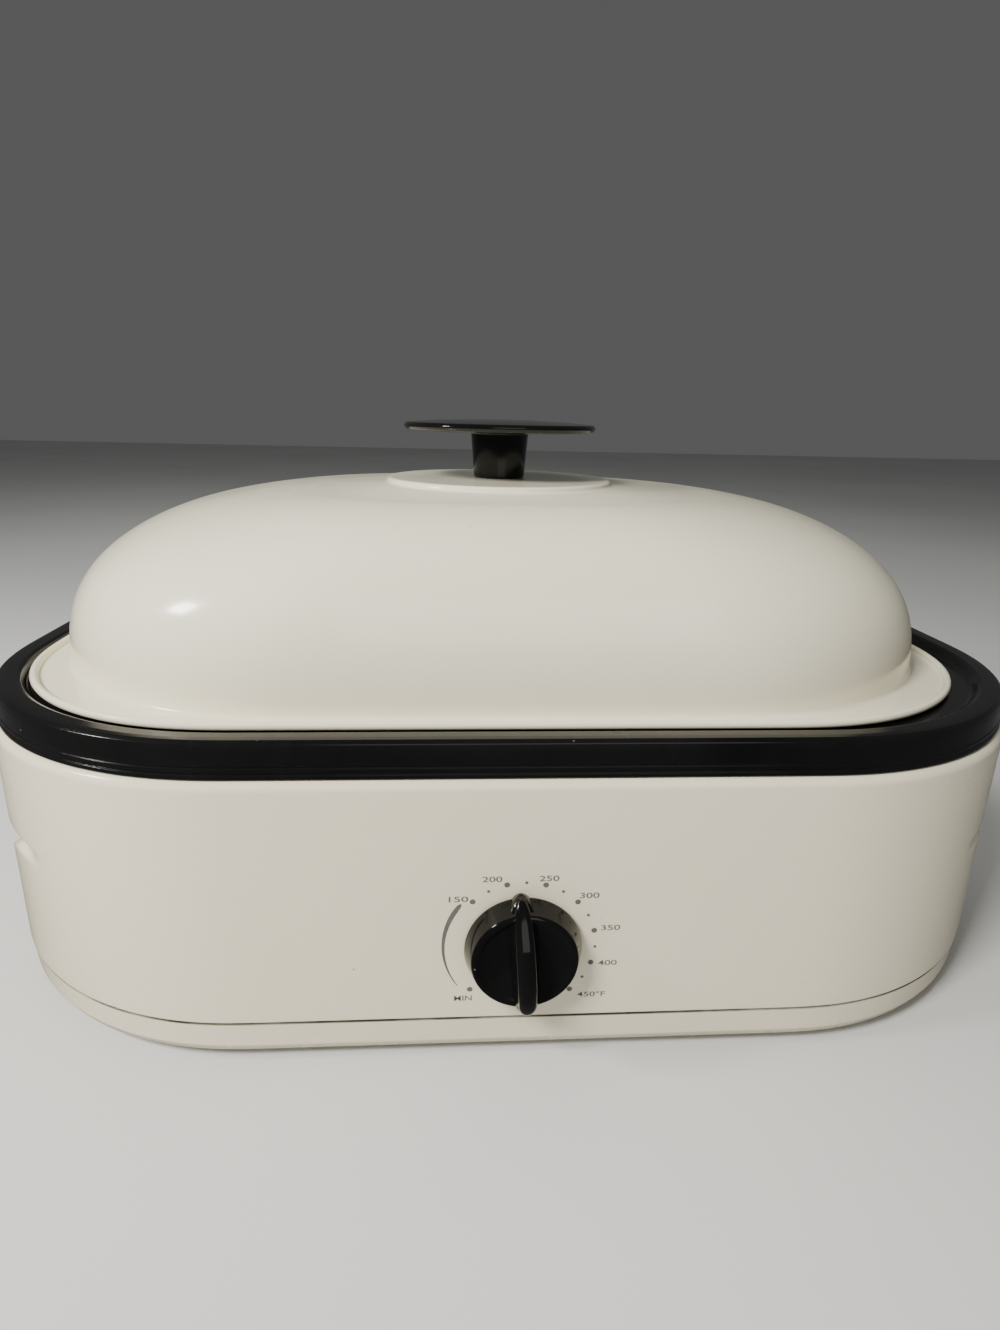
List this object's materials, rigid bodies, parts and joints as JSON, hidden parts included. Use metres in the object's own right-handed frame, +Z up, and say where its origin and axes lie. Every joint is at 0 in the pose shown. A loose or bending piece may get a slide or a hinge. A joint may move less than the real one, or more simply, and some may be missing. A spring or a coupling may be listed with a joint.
{
  "type": "electric roaster oven",
  "caption": "Countertop electric roaster oven with a lift-off domed lid, a removable roasting pan and rack, and a front temperature knob.",
  "frame": {"origin": "centre of the whole outer box, knob included, on the table, which puts the housing's own middle 9.75 mm behind it", "axes": "+X along the length, to the right seen from the front; -Y is the front with the knob; +Z up"},
  "size_m": [0.565, 0.4326, 0.2925],
  "materials": {
    "enamel_white": "gloss",
    "rim_black": "gloss",
    "knob_black": "gloss",
    "pan_enamel": "gloss",
    "galvanised": "satin",
    "zinc_fastener": "satin",
    "rack_chrome": "polished",
    "rubber_black": "matt",
    "glass_fibre": "matt",
    "element_band": "satin",
    "ceramic_white": "matt",
    "copper_tube": "satin",
    "thermostat_case": "matt",
    "brass_nut": "satin",
    "wire_sleeve": "matt",
    "earth_green": "satin",
    "gland_black": "satin"
  },
  "bodies": {
    "housing": {"body_sides": "enamel_white", "body_ends": "enamel_white", "base_pan": "enamel_white", "feet": "rubber_black", "base_brackets": "galvanised", "base_screws": "zinc_fastener", "rim_collar": "rim_black", "collar_screws": "zinc_fastener", "grip_cups": "enamel_white", "heating_well": "galvanised", "insulation_blanket": "glass_fibre", "heating_element": "element_band", "element_clips": "zinc_fastener", "element_terminals": "ceramic_white", "heat_shield": "galvanised", "well_brackets": "galvanised", "sensor_bulb": "copper_tube", "bulb_clips": "zinc_fastener", "thermal_fuse": "ceramic_white", "thermostat_body": "thermostat_case", "thermostat_bracket": "galvanised", "thermostat_nut": "brass_nut", "cord_gland": "gland_black", "ground_screw": "earth_green", "ground_tag": "brass_nut", "lead_wires": "wire_sleeve"},
    "knob": {"thermostat_shaft": "zinc_fastener", "control_knob": "knob_black"},
    "pan": {"roasting_pan": "pan_enamel"},
    "rack": {"rack_grid": "rack_chrome", "rack_loops": "rack_chrome"},
    "lid": {"lid_shell": "enamel_white", "lid_handle": "knob_black", "handle_washer": "zinc_fastener", "handle_screw": "zinc_fastener"}
  },
  "joints": [
    {"name": "knob_turn", "type": "hinge", "parent": "housing", "child": "knob", "pos_m": [-0.0025, -0.19275, 0.0636], "axis": [0, 1, 0], "range_deg": [-130, 141]},
    {"name": "pan_lift", "type": "slide", "parent": "housing", "child": "pan", "axis": [0, 0, 1], "range_m": [0, 0.15]},
    {"name": "rack_lift", "type": "slide", "parent": "pan", "child": "rack", "axis": [0, 0, 1], "range_m": [0, 0.06]},
    {"name": "lid_lift", "type": "slide", "parent": "pan", "child": "lid", "axis": [0, 0, 1], "range_m": [0, 0.2]}
  ]
}
